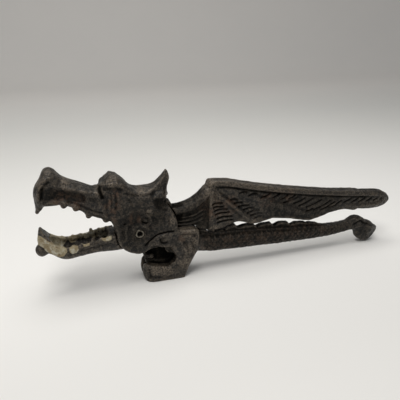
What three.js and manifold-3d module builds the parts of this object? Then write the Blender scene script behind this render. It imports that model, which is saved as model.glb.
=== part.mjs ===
// Dragon nutcracker in cast iron. The body casting is the upper jaw, the head, the forelegs and
// the tail that it stands on. The lever casting is the lower jaw, the hub and the folded wings.
// One rivet through both cheeks is the pivot: raising the wings drops the lower jaw.
//
// Millimetres, +Z up. The dragon faces -X, its left side is -Y, and Z = 0 is the table.
// Each casting is split into its natural sub-parts, which stand SEAM apart.
import * as THREE from 'three';
import { mergeVertices } from 'three/addons/utils/BufferGeometryUtils.js';
import Module from 'manifold-3d';

const wasm = await Module();
wasm.setup();

// ---- driving dimensions ----
const SEAM = 0.3;                         // gap between neighbouring sub-parts
const PIVOT = new THREE.Vector2(-87, 48); // rivet axis, in X and Z
const CHIN_X = -168;                      // front of the lower jaw
const TIP_X = 168;                        // rear end of the wing handle
const HEAD_HALF = 12;                     // half the width over the cheeks
const SLOT_HALF = 5.4;                    // half the slot between the cheeks
const HUB_HALF = 5;                       // half the thickness of the hub in that slot
const HUB_RADIUS = 14;
const CHEEK_RADIUS = 16.5;                // round front and underside of the cheeks
const SWING_RADIUS = 33;                  // the cheeks end inside it, the wing arm starts outside
const RIVET_RADIUS = 3;
const RIVET_HEAD_RADIUS = 4.2;
const BORE_CLEARANCE = 0.3;

// Stations along X where one sub-part ends and the next begins.
const MUZZLE_X = -162.5;
const JAW_REAR_X = -105;
const BROW_FRONT_X = -118;
const SKULL_FRONT_X = -92;
const SKULL_BACK_X = -62;
const CHEEK_TOP_Z = 66;
const ELBOW_X = -36.5;
const TAIL_SPLIT_X = 36;
const SPADE_X = 131;
const WRIST_X = -20;
const GRIP_X = 113;

// ---- solids ----
function solid(geometry) {
  geometry.deleteAttribute('normal');
  geometry.deleteAttribute('uv');
  const merged = mergeVertices(geometry, 1e-4);
  return new wasm.Manifold(new wasm.Mesh({
    numProp: 3,
    vertProperties: new Float32Array(merged.attributes.position.array),
    triVerts: new Uint32Array(merged.index.array),
  }));
}

function geometryOf(manifold) {
  const mesh = manifold.getMesh();
  const geometry = new THREE.BufferGeometry();
  geometry.setAttribute('position', new THREE.BufferAttribute(mesh.vertProperties, 3));
  geometry.setIndex(new THREE.BufferAttribute(mesh.triVerts, 1));
  geometry.computeVertexNormals();
  return geometry;
}

const join = (first, ...rest) => rest.reduce((sum, item) => sum.add(item), first);
const cut = (first, ...rest) => rest.reduce((left, item) => left.subtract(item), first);

function outline(points) {
  return new THREE.Shape(points.map(([a, b]) => new THREE.Vector2(a, b)));
}

// A side outline in X and Z, extruded across Y from y0 to y1.
function side(shape, y0, y1, curveSegments = 12) {
  const path = Array.isArray(shape) ? outline(shape) : shape;
  const geometry = new THREE.ExtrudeGeometry(path, { depth: y1 - y0, bevelEnabled: false, curveSegments });
  geometry.rotateX(Math.PI / 2);
  geometry.translate(0, y1, 0);
  return solid(geometry);
}

// A plan outline in X and Y, extruded up from z0 to z1.
function plan(points, z0, z1) {
  const geometry = new THREE.ExtrudeGeometry(outline(points), { depth: z1 - z0, bevelEnabled: false });
  geometry.translate(0, 0, z0);
  return solid(geometry);
}

// A section in Y and Z, extruded along X from x0 to x1.
function front(points, x0, x1) {
  const geometry = new THREE.ExtrudeGeometry(outline(points), { depth: x1 - x0, bevelEnabled: false });
  geometry.rotateX(Math.PI / 2);
  geometry.rotateZ(Math.PI / 2);
  geometry.translate(x0, 0, 0);
  return solid(geometry);
}

function box(x0, x1, y0, y1, z0, z1) {
  const geometry = new THREE.BoxGeometry(x1 - x0, y1 - y0, z1 - z0);
  geometry.translate((x0 + x1) / 2, (y0 + y1) / 2, (z0 + z1) / 2);
  return solid(geometry);
}

function ball(x, y, z, rx, ry, rz) {
  const geometry = new THREE.SphereGeometry(1, 14, 9);
  geometry.scale(rx, ry, rz);
  geometry.translate(x, y, z);
  return solid(geometry);
}

// A cylinder across Y.
function pin(x, z, radius, y0, y1, sides = 24) {
  const geometry = new THREE.CylinderGeometry(radius, radius, y1 - y0, sides);
  geometry.translate(x, (y0 + y1) / 2, z);
  return solid(geometry);
}

// A cone from its round root to its tip.
function spike(root, tip, radius, sides = 8) {
  const axis = new THREE.Vector3().subVectors(tip, root);
  const geometry = new THREE.ConeGeometry(radius, axis.length(), sides);
  geometry.translate(0, axis.length() / 2, 0);
  geometry.applyQuaternion(new THREE.Quaternion().setFromUnitVectors(
    new THREE.Vector3(0, 1, 0), axis.clone().normalize()));
  geometry.translate(root.x, root.y, root.z);
  return solid(geometry);
}

// A smooth curve through [x, value] points, read as a function of x.
function profile(points) {
  const slope = (i) => {
    const a = points[Math.max(i - 1, 0)];
    const b = points[Math.min(i + 1, points.length - 1)];
    return (b[1] - a[1]) / (b[0] - a[0]);
  };
  return (x) => {
    let i = 0;
    while (i < points.length - 2 && x > points[i + 1][0]) i += 1;
    const [x0, v0] = points[i];
    const [x1, v1] = points[i + 1];
    const t = THREE.MathUtils.clamp((x - x0) / (x1 - x0), 0, 1);
    const run = x1 - x0;
    const rise = (t ** 3 - 2 * t ** 2 + t) * run * slope(i) + (t ** 3 - t ** 2) * run * slope(i + 1);
    return v0 * (2 * t ** 3 - 3 * t ** 2 + 1) + v1 * (3 * t ** 2 - 2 * t ** 3) + rise;
  };
}

// A body swept along X from xa to xb: top, bottom and half-width are functions of x, and the
// section is an ellipse at roundness 2 and squarer above it.
function loft({ xa, xb, top, bottom, half, roundness = 3, sides = 16, steps = 12 }) {
  const geometry = new THREE.CylinderGeometry(1, 1, 1, sides, steps);
  const position = geometry.attributes.position;
  const bulge = (v) => Math.sign(v) * Math.abs(v) ** (2 / roundness);
  for (let i = 0; i < position.count; i += 1) {
    const x = THREE.MathUtils.lerp(xa, xb, 0.5 - position.getY(i));
    const middle = (top(x) + bottom(x)) / 2;
    const rise = (top(x) - bottom(x)) / 2;
    position.setXYZ(i, x, -half(x) * bulge(position.getZ(i)), middle + rise * bulge(position.getX(i)));
  }
  return solid(geometry);
}

const mirrored = (manifold) => {
  const mesh = manifold.getMesh();
  const positions = mesh.vertProperties.map((value, i) => (i % 3 === 1 ? -value : value));
  const triangles = mesh.triVerts.map((_, i, all) => all[i - (i % 3) + 2 - (i % 3)]);
  return new wasm.Manifold(new wasm.Mesh({ numProp: 3, vertProperties: positions, triVerts: triangles }));
};

// ---- scene ----
const nutcracker = new THREE.Group();
nutcracker.name = 'nutcracker';
const bodyCasting = new THREE.Group();
const leverCasting = new THREE.Group();
nutcracker.add(bodyCasting, leverCasting);

const FINISH = {
  iron: { color: 0x3b3632, roughness: 0.55, metalness: 0.75 },
  sootyIron: { color: 0x24201d, roughness: 0.7, metalness: 0.6 },
  wornIron: { color: 0x6b6151, roughness: 0.5, metalness: 0.6 },
  rivetSteel: { color: 0x55524b, roughness: 0.4, metalness: 0.85 },
};

function place(group, name, manifold, finish = FINISH.iron) {
  const mesh = new THREE.Mesh(geometryOf(manifold), new THREE.MeshStandardMaterial(finish));
  mesh.name = name;
  group.add(mesh);
}

function placePair(group, name, leftManifold, finish) {
  place(group, `left_${name}`, leftManifold, finish);
  place(group, `right_${name}`, mirrored(leftManifold), finish);
}

const at = (x, y, z) => new THREE.Vector3(x, y, z);

// ---- body casting: head ----
const headTop = profile([
  [-162.5, 91], [-158, 96.5], [-154, 103.5], [-151, 105], [-148, 103.5], [-143, 98.5], [-136, 94], [-127, 90],
  [-121, 87], [-117, 88], [-112, 94], [-105, 97.5], [-98, 93], [-91, 85.5], [-85, 83.5], [-74, 83],
  [-62, 83],
]);
const headBottom = profile([
  [-162.5, 77], [-156, 80], [-145, 79.5], [-135, 74.5], [-125, 68.5], [-115, 65], [-108, 62], [-62, 62],
]);
const headHalf = profile([
  [-162.5, 5], [-159, 8], [-154, 10], [-145, 9.5], [-132, 9.5], [-120, 11], [-108, HEAD_HALF],
  [-75, HEAD_HALF], [-67, 10.8], [-62, 8],
]);

function head(xa, xb, steps) {
  return loft({ xa, xb, top: headTop, bottom: headBottom, half: headHalf, roundness: 3.2, steps });
}

// The space that the hub and the root of the wing arm swing through.
function swingSpace() {
  const shape = new THREE.Shape();
  shape.absarc(PIVOT.x, PIVOT.y, SWING_RADIUS + 4, THREE.MathUtils.degToRad(-8),
    THREE.MathUtils.degToRad(60), false);
  shape.lineTo(PIVOT.x, PIVOT.y);
  return join(side(shape, -SLOT_HALF, SLOT_HALF),
    pin(PIVOT.x, PIVOT.y, HUB_RADIUS + 1, -SLOT_HALF, SLOT_HALF),
    box(-112, PIVOT.x, -SLOT_HALF, SLOT_HALF, 20, PIVOT.y + HUB_RADIUS));
}

function muzzle() {
  const palate = ball(-133, 0, 72, 22, 6.5, 12);
  const fang = spike(at(-160.5, 0, 84), at(-163.5, 0, 71), 4.5);
  const teeth = [[-143, 80, 76], [-131, 74, 68.5], [-121, 69, 63.5]].flatMap(([x, root, tip]) => (
    [-1, 1].map((hand) => spike(at(x, hand * 7, root), at(x - 0.5, hand * 7, tip), 2.2))));
  const solidMuzzle = cut(head(MUZZLE_X, BROW_FRONT_X - SEAM, 22), palate);
  return join(solidMuzzle, fang, ...teeth);
}

function brow() {
  const socket = (hand) => ball(-118, hand * 12.5, 84, 6, 3.2, 5);
  return cut(head(BROW_FRONT_X, SKULL_FRONT_X - SEAM, 14), socket(-1), socket(1),
    box(-112, -90, -SLOT_HALF, SLOT_HALF, 50, PIVOT.y + HUB_RADIUS + 4));
}

function skull() {
  const above = box(SKULL_FRONT_X, SKULL_BACK_X, -20, 20, CHEEK_TOP_Z + SEAM, 100);
  const nape = side([[-66, 60], [-50, 60], [-50, 77], [-64.5, 77]], -20, 20);
  const armReach = pin(PIVOT.x, PIVOT.y, SWING_RADIUS + 4, -20, 20, 48);
  return cut(head(SKULL_FRONT_X, SKULL_BACK_X, 8).intersect(above), nape.intersect(armReach), swingSpace());
}

function horn() {
  const shape = outline([
    [-78, 83.5], [-71, 85], [-66, 89.5], [-61.5, 96.8], [-60.2, 96.2], [-59.4, 92], [-60.5, 87],
    [-62.5, 83.5],
  ]);
  const taper = plan([[-79, -4.5], [-79, 4.5], [-63, 4.5], [-58, 1.2], [-58, -1.2], [-63, -4.5]], 80, 100);
  return side(shape, -5, 5).intersect(taper);
}

// ---- body casting: cheeks, one on each side of the hub ----
function cheek() {
  const shape = new THREE.Shape();
  shape.moveTo(-107.5, CHEEK_TOP_Z - 4);
  shape.lineTo(-103.3, 50);
  shape.absarc(PIVOT.x, PIVOT.y, CHEEK_RADIUS, THREE.MathUtils.degToRad(173),
    THREE.MathUtils.degToRad(292), false);
  shape.lineTo(-72.5, 44.6);
  shape.absarc(PIVOT.x, PIVOT.y, SWING_RADIUS - 0.5, THREE.MathUtils.degToRad(-6),
    THREE.MathUtils.degToRad(33.5), false);
  shape.lineTo(SKULL_FRONT_X, CHEEK_TOP_Z);
  shape.lineTo(SKULL_FRONT_X - SEAM, 61.6);
  const plate = side(shape, -HEAD_HALF, -SLOT_HALF);
  return cut(plate, pin(PIVOT.x, PIVOT.y, RIVET_RADIUS + BORE_CLEARANCE, -20, 20));
}

// ---- body casting: shoulders, chest and forelegs ----
const LEG_OUTER = 11.8;
const LEG_INNER = 4;

function shoulder() {
  return side([
    [-80.1, 33], [-72.5, 44], [-40, 44.5], [ELBOW_X - SEAM, 41], [ELBOW_X - SEAM, 32],
    [-38.5, 27], [-56.5, 27], [-60, 30], [-66, 31.5],
  ], -HEAD_HALF, -SLOT_HALF - SEAM);
}

function foreleg() {
  return side([
    [-56.3, 26.7], [-38.6, 26.7], [-42, 19], [-46.5, 12], [-49, 5], [-61.7, 13], [-58.5, 17], [-57.2, 22],
  ], -LEG_OUTER, -LEG_INNER);
}

function paw() {
  const roundedToes = plan([
    [-86, -LEG_INNER], [-83.5, -8], [-79.5, -10.8], [-75, -LEG_OUTER], [-45, -LEG_OUTER], [-45, -LEG_INNER],
  ].reverse(), -1, 20);
  return side([
    [-81.5, 0], [-84, 3], [-86.5, 8.5], [-87, 13], [-85, 17], [-81, 16.6], [-77, 15], [-70, 13.6],
    [-62, 12.7], [-49.3, 4.6], [-51, 1.5], [-53, 0],
  ], -LEG_OUTER, -LEG_INNER).intersect(roundedToes);
}

function chest() {
  return side([
    [-84, 15], [-86, 22], [-84.5, 31], [-62, 31], [-62, 26.7], [-38.6, 26.7], [-46.5, 12], [-52, 9],
    [-78, 10],
  ], -LEG_INNER + SEAM, LEG_INNER - SEAM);
}

function torso() {
  return side([
    [-61.7, 27], [-61.7, 43], [-56, 45], [-40, 44], [ELBOW_X - SEAM, 42], [ELBOW_X - SEAM, 27],
  ], -SLOT_HALF, SLOT_HALF);
}

// ---- body casting: tail ----
const tailTop = profile([
  [-40, 39.5], [-30, 36], [-18, 34.2], [0, 34], [25, 31.5], [50, 28.8], [75, 26], [92, 23.5], [106, 23.5],
  [120, 25.8], [132, 27.5],
]);
const tailBottom = profile([
  [-40, 22], [-22, 20.5], [0, 19.5], [25, 18], [50, 16.5], [75, 15.5], [98, 15], [115, 15.3], [132, 16.5],
]);
const tailHalf = profile([
  [-40, 9.8], [-25, 9.3], [0, 8.6], [25, 8.1], [50, 7.5], [75, 7], [100, 6.5], [132, 6.5],
]);

function tail(xa, xb, steps) {
  return loft({ xa, xb, top: tailTop, bottom: tailBottom, half: tailHalf, roundness: 2.6, sides: 14, steps });
}

// Spikes along the crest, each with a gentle front and a steep back: [front, peak, back] in X.
const SPIKE_BACKS = [-10, 6, 23, 40, 56, 76, 89];
const SPIKE_LENGTH = 13;
const SPIKE_RISE = 3.6;

function crest(xa, xb) {
  return SPIKE_BACKS.filter((back) => back > xa && back < xb).map((back) => {
    const front = Math.max(back - SPIKE_LENGTH, xa);
    const length = back - front;
    return side([
      [front, tailTop(front) - 4], [front, tailTop(front) - 0.5],
      [front + length * 0.45, tailTop(front + length * 0.45) + SPIKE_RISE * 0.85],
      [back - 2.5, tailTop(back - 2.5) + SPIKE_RISE], [back, tailTop(back) - 0.5], [back, tailTop(back) - 4],
    ], -2.6, 2.6);
  });
}

function spade() {
  const leaf = outline([
    [SPADE_X + SEAM, 17], [136, 16.5], [137, 9], [140, 4], [145, 0], [149, 0], [154.5, 3.6],
    [161, 11.5], [157, 16.5], [149, 20.5], [144, 24.5], [138, 27], [SPADE_X + SEAM, 27],
  ]);
  const barbs = plan([
    [SPADE_X + SEAM, -6.2], [139, -7.5], [146, -8], [154, -5.5], [161.5, -1.5], [161.5, 1.5], [154, 5.5],
    [146, 8], [139, 7.5], [SPADE_X + SEAM, 6.2],
  ], -1, 40);
  const section = front([[-4, 0], [4, 0], [8, 8], [8, 18], [4.5, 28], [-4.5, 28], [-8, 18], [-8, 8]], 128, 164);
  return side(leaf, -12, 12).intersect(barbs).intersect(section);
}

// ---- lever casting: lower jaw ----
const jawRim = profile([
  [-168, 46], [-165, 50], [-162, 53.5], [-159.5, 53.5], [-156, 50], [-152, 47], [-147, 45], [-140, 44.3],
  [-130, 45], [-118, 47], [JAW_REAR_X, 49],
]);
const jawBottom = profile([
  [-168, 36.5], [-165, 35], [-160, 36.5], [-155, 36], [-150, 33.5], [-138, 32.5], [-120, 33.5],
  [JAW_REAR_X, 33],
]);
const jawHalf = profile([
  [-168, 4.5], [-164, 6.5], [-158, 9.5], [-152, 11], [-140, 11.5], [-120, 11.5], [JAW_REAR_X, 11],
]);

function lowerJaw() {
  const outer = loft({
    xa: CHIN_X, xb: JAW_REAR_X, top: jawRim, bottom: jawBottom, half: jawHalf, roundness: 3.2, steps: 20,
  });
  const trough = ball(-133, 0, 50, 25, 8, 11.5);
  const beak = spike(at(-161.5, 0, 46), at(-162.5, 0, 60), 4.5);
  const teeth = [-148, -137, -126, -116].flatMap((x) => (
    [-1, 1].map((hand) => spike(at(x, hand * 9.2, jawRim(x) - 2), at(x, hand * 9.2, jawRim(x) + 3.5), 2))));
  return join(cut(outer, trough), beak, ...teeth);
}

// ---- lever casting: hub between the cheeks ----
function hub() {
  const shape = new THREE.Shape();
  shape.moveTo(JAW_REAR_X + SEAM, 36);
  shape.lineTo(-97, 37.9);
  shape.absarc(PIVOT.x, PIVOT.y, HUB_RADIUS, THREE.MathUtils.degToRad(226),
    THREE.MathUtils.degToRad(318), false);
  shape.lineTo(-70, 46);
  shape.absarc(PIVOT.x, PIVOT.y, SWING_RADIUS + 0.2, THREE.MathUtils.degToRad(5),
    THREE.MathUtils.degToRad(29), false);
  shape.lineTo(-58.4, 68);
  shape.lineTo(-61, 69.5);
  shape.lineTo(-63.5, 67);
  shape.lineTo(-73, 60.5);
  shape.absarc(PIVOT.x, PIVOT.y, HUB_RADIUS, THREE.MathUtils.degToRad(60),
    THREE.MathUtils.degToRad(135), false);
  shape.lineTo(JAW_REAR_X + SEAM, 48);
  return cut(side(shape, -HUB_HALF, HUB_HALF),
    pin(PIVOT.x, PIVOT.y, RIVET_RADIUS + BORE_CLEARANCE, -20, 20));
}

// ---- lever casting: wing arm, wings and grip ----
const wingTop = profile([
  [-60, 62.5], [-50, 62.7], [-41, 65.6], [-33, 71.5], [-27, 79], [-22, 82.7], [-8, 82], [13, 76.5], [36, 71.5],
  [65, 66], [98, 61], [132, 56.2], [154, 53], [161, 50], [TIP_X, 44],
]);
const wingHalf = profile([
  [-60, 9.8], [-50, 8.2], [-40, 6.8], [-20, 6], [100, 6], [150, 6], [160, 5], [TIP_X, 2.5],
]);
const BAND = 4.5;                        // depth of the leading-edge band
const PANEL_HALF = 4.6;                  // half the thickness of the wings below it

function wingArm() {
  const shape = outline([
    [-62, 50], [-45, 48.5], [-33, 45.5], [-26.5, 40.5], [-22.5, 37], [WRIST_X, 38.5], [WRIST_X, 83.5],
    ...[-24, -28, -33, -40, -48, -56, -62].map((x) => [x, wingTop(x)]),
  ]);
  const arm = side(shape, -12, 12);
  const taper = plan([
    [-62, -10], [-54, -9], [-42, -7], [WRIST_X, -6], [WRIST_X, 6], [-42, 7], [-54, 9], [-62, 10],
  ], 30, 90);
  const clearOfCheeks = pin(PIVOT.x, PIVOT.y, SWING_RADIUS + 0.5, -20, 20, 64);
  const flank = (hand) => side([
    [-47, 44], [-46, 59.5], [-36, 64], [-30, 70], [-27, 72], [-27, 38], [-40, 38],
  ], Math.min(hand * 4, hand * 12), Math.max(hand * 4, hand * 12));
  return cut(arm.intersect(taper), clearOfCheeks, flank(-1), flank(1));
}

function wingBand() {
  const rail = (x) => wingTop(x) - BAND;
  const xs = [WRIST_X + SEAM, -8, 6, 24, 48, 80, 104, GRIP_X - SEAM];
  return side([
    ...xs.map((x) => [x, rail(x)]), ...xs.reverse().map((x) => [x, wingTop(x)]),
  ], -6, 6);
}

function wing() {
  const hem = [
    [WRIST_X + SEAM, 38.5], [-16, 38], [-8, 41], [-1, 44], [9, 43], [15, 40], [20, 39], [28, 41], [38, 42],
    [57, 39], [68, 37], [80, 35.2], [94, 37], [103, 39], [GRIP_X - SEAM, 40],
  ];
  const xs = [GRIP_X - SEAM, 104, 80, 48, 24, 6, -8, WRIST_X + SEAM];
  const shape = [...hem, ...xs.map((x) => [x, wingTop(x) - BAND - SEAM])];
  return side(shape, -PANEL_HALF, -SEAM / 2);
}

function grip() {
  const bottom = profile([[GRIP_X, 40], [128, 39], [153, 38], [160, 39], [TIP_X, 43]]);
  return loft({ xa: GRIP_X, xb: TIP_X, top: wingTop, bottom, half: wingHalf, roundness: 3.4, steps: 14 });
}

// ---- pivot rivet: dished heads outside both cheeks ----
function pivotRivet() {
  const length = HEAD_HALF + 1;
  const profilePoints = [
    [0, -length + 0.6], [2.2, -length + 0.6], [2.6, -length], [RIVET_HEAD_RADIUS - 0.5, -length],
    [RIVET_HEAD_RADIUS, -length + 0.4], [RIVET_HEAD_RADIUS, -HEAD_HALF - 0.3], [RIVET_RADIUS, -HEAD_HALF - 0.3],
  ];
  const points = [...profilePoints, ...profilePoints.map(([r, y]) => [r, -y]).reverse()];
  return solid(new THREE.LatheGeometry(points.map(([r, y]) => new THREE.Vector2(r, y)), 24)
    .translate(PIVOT.x, 0, PIVOT.y));
}

place(bodyCasting, 'upper_jaw', muzzle());
place(bodyCasting, 'brow', brow());
place(bodyCasting, 'skull', skull());
place(bodyCasting, 'horn', horn());
placePair(bodyCasting, 'cheek', cheek());
placePair(bodyCasting, 'shoulder', shoulder());
placePair(bodyCasting, 'foreleg', foreleg());
placePair(bodyCasting, 'paw', paw(), FINISH.wornIron);
place(bodyCasting, 'chest', chest(), FINISH.sootyIron);
place(bodyCasting, 'torso', torso());
place(bodyCasting, 'tail_root', join(tail(ELBOW_X, TAIL_SPLIT_X - SEAM, 10), ...crest(ELBOW_X, TAIL_SPLIT_X)));
place(bodyCasting, 'tail_end', join(tail(TAIL_SPLIT_X, SPADE_X, 12), ...crest(TAIL_SPLIT_X + 4, SPADE_X)));
place(bodyCasting, 'tail_spade', spade());
place(leverCasting, 'lower_jaw', lowerJaw(), FINISH.wornIron);
place(leverCasting, 'lever_hub', hub(), FINISH.sootyIron);
place(leverCasting, 'wing_arm', wingArm());
place(leverCasting, 'wing_band', wingBand());
placePair(leverCasting, 'wing', wing());
place(leverCasting, 'grip', grip());
place(nutcracker, 'pivot_rivet', pivotRivet(), FINISH.rivetSteel);

export default nutcracker;
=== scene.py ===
"""Cast-iron dragon nutcracker: two sculpted castings and their pivot rivet, on a pale floor.

Lengths are millimetres until a mesh is made, and the axes are the frame's: the dragon faces -X,
its left side is -Y and Z = 0 is the table. Each casting is a sampled solid: simple volumes are
joined in a grid of distances, side reliefs are pressed into it, and a skin is drawn over it.
"""
import math

import bpy
import numpy as np
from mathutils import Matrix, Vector


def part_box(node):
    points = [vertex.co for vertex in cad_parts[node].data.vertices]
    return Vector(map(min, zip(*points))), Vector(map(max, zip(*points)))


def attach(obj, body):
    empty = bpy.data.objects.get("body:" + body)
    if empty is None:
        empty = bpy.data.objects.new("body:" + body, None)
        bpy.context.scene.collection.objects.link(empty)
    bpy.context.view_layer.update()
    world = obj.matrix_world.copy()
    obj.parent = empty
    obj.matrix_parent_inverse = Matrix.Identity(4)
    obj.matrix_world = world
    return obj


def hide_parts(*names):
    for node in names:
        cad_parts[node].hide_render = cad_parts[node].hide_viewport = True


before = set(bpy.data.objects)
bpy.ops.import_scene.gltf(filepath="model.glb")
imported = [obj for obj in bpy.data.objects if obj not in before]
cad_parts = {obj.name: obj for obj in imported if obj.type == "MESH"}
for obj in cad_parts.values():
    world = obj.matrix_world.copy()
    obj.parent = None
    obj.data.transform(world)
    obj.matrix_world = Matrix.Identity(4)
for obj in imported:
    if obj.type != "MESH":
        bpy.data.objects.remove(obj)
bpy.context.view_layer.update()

MM = 0.001
STEP = 0.6       # grid spacing
SKIN_PASSES = 3                         # relaxing passes over a fresh skin
SLOT = 5.4                              # half the width of the slot between the cheeks
SLOT_RADIUS = 15.2                      # the round part of the slot, about the pivot
HUB = 4.9                               # half the thickness of the lever's hub
HUB_RADIUS = 13.6
CHEEK = 12.2                            # half the thickness across the cheeks and the shoulders
THROUGH = 20                            # half the depth of a cut that goes right through

rivet_low, rivet_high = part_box("pivot_rivet")
PIVOT_X, _, PIVOT_Z = (rivet_low + rivet_high) / 2 / MM
RIVET_HOLE = 3.3
RIVET_SEAT, SEAT_FLOOR = 4.2, 10.6      # the recess round each end of the rivet: radius, |y| of its floor
CHEEK_RADIUS = 18.6
SWING_RADIUS = 33.0                     # the cheeks end inside it, the wing arm starts outside
JAW_SWING = 19.3                        # the jaw ends outside this circle about the pivot
SOLE = 0.15                             # the height at which the soles and the tail are cut flat


# ---- outlines and profiles ----
def curve(points, closed=False, steps=6):
    """Points on a smooth curve through the given ones. A doubled point makes a sharp corner."""
    p = np.array(points, float)
    n = len(p)
    t = np.arange(steps)[:, None] / steps
    pieces = []
    for i in range(n if closed else n - 1):
        a, b, c, d = (p[(i + j) % n] if closed else p[min(max(i + j, 0), n - 1)] for j in (-1, 0, 1, 2))
        if not np.allclose(b, c):
            pieces.append(0.5 * (2 * b + (c - a) * t + (2 * a - 5 * b + 4 * c - d) * t ** 2
                                 + (3 * b - a - 3 * c + d) * t ** 3))
    if not closed:
        pieces.append(p[-1:])
    return np.vstack(pieces)


def profile(points, x):
    """A smooth value at x through the given [x, value] points."""
    px, pv = np.array(points, float).T
    slope = np.gradient(pv, px)
    slope[1:-1] = (pv[2:] - pv[:-2]) / (px[2:] - px[:-2])
    i = np.clip(np.searchsorted(px, x) - 1, 0, len(px) - 2)
    run = px[i + 1] - px[i]
    t = np.clip((x - px[i]) / run, 0, 1)
    return (pv[i] * (2 * t ** 3 - 3 * t ** 2 + 1) + pv[i + 1] * (3 * t ** 2 - 2 * t ** 3)
            + run * (slope[i] * (t ** 3 - 2 * t ** 2 + t) + slope[i + 1] * (t ** 3 - t ** 2)))


def arc(radius, start, end, count=10, centre=(PIVOT_X, PIVOT_Z)):
    """Points on an arc in X and Z, angles in degrees from +X towards +Z."""
    angles = np.radians(np.linspace(start, end, count))
    return [(centre[0] + radius * math.cos(a), centre[1] + radius * math.sin(a)) for a in angles]


def polygon(points, x, z):
    """Signed distance to a closed outline in X and Z, negative inside."""
    nearest = np.full(np.broadcast(x, z).shape, 1e9)
    inside = np.zeros(nearest.shape, bool)
    for (ax, az), (bx, bz) in zip(points, np.roll(points, -1, axis=0)):
        ex, ez = bx - ax, bz - az
        wx, wz = x - ax, z - az
        t = np.clip((wx * ex + wz * ez) / max(ex * ex + ez * ez, 1e-12), 0, 1)
        nearest = np.minimum(nearest, (wx - ex * t) ** 2 + (wz - ez * t) ** 2)
        if az != bz:
            inside ^= ((az > z) != (bz > z)) & (wx < ex * wz / ez)
    return np.where(inside, -np.sqrt(nearest), np.sqrt(nearest))


def line_distance(points, x, z):
    """Distance to an open line in X and Z, and how far along it the nearest point is, 0 to 1."""
    nearest = np.full(np.broadcast(x, z).shape, 1e9)
    along = np.zeros(nearest.shape)
    last = len(points) - 1
    for i in range(last):
        (ax, az), (bx, bz) = points[i], points[i + 1]
        ex, ez = bx - ax, bz - az
        t = np.clip(((x - ax) * ex + (z - az) * ez) / max(ex * ex + ez * ez, 1e-12), 0, 1)
        gap = (x - ax - ex * t) ** 2 + (z - az - ez * t) ** 2
        along = np.where(gap < nearest, (i + t) / last, along)
        nearest = np.minimum(nearest, gap)
    return np.sqrt(nearest), along


def ramp(value, low, high):
    """0 at low, 1 at high, smooth between."""
    t = np.clip((value - low) / (high - low), 0, 1)
    return t * t * (3 - 2 * t)


def meet(a, b, radius):
    """What is inside both a and b, with the edge between them rounded."""
    u, v = np.maximum(a + radius, 0), np.maximum(b + radius, 0)
    return np.minimum(np.maximum(a, b), -radius) + np.sqrt(u * u + v * v)


def melt(a, b, width):
    """What is inside a or b, with a fillet of about that width between them."""
    if width <= 0:
        return np.minimum(a, b)
    overlap = np.maximum(width - np.abs(a - b), 0) / width
    return np.minimum(a, b) - overlap * overlap * width / 4


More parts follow.
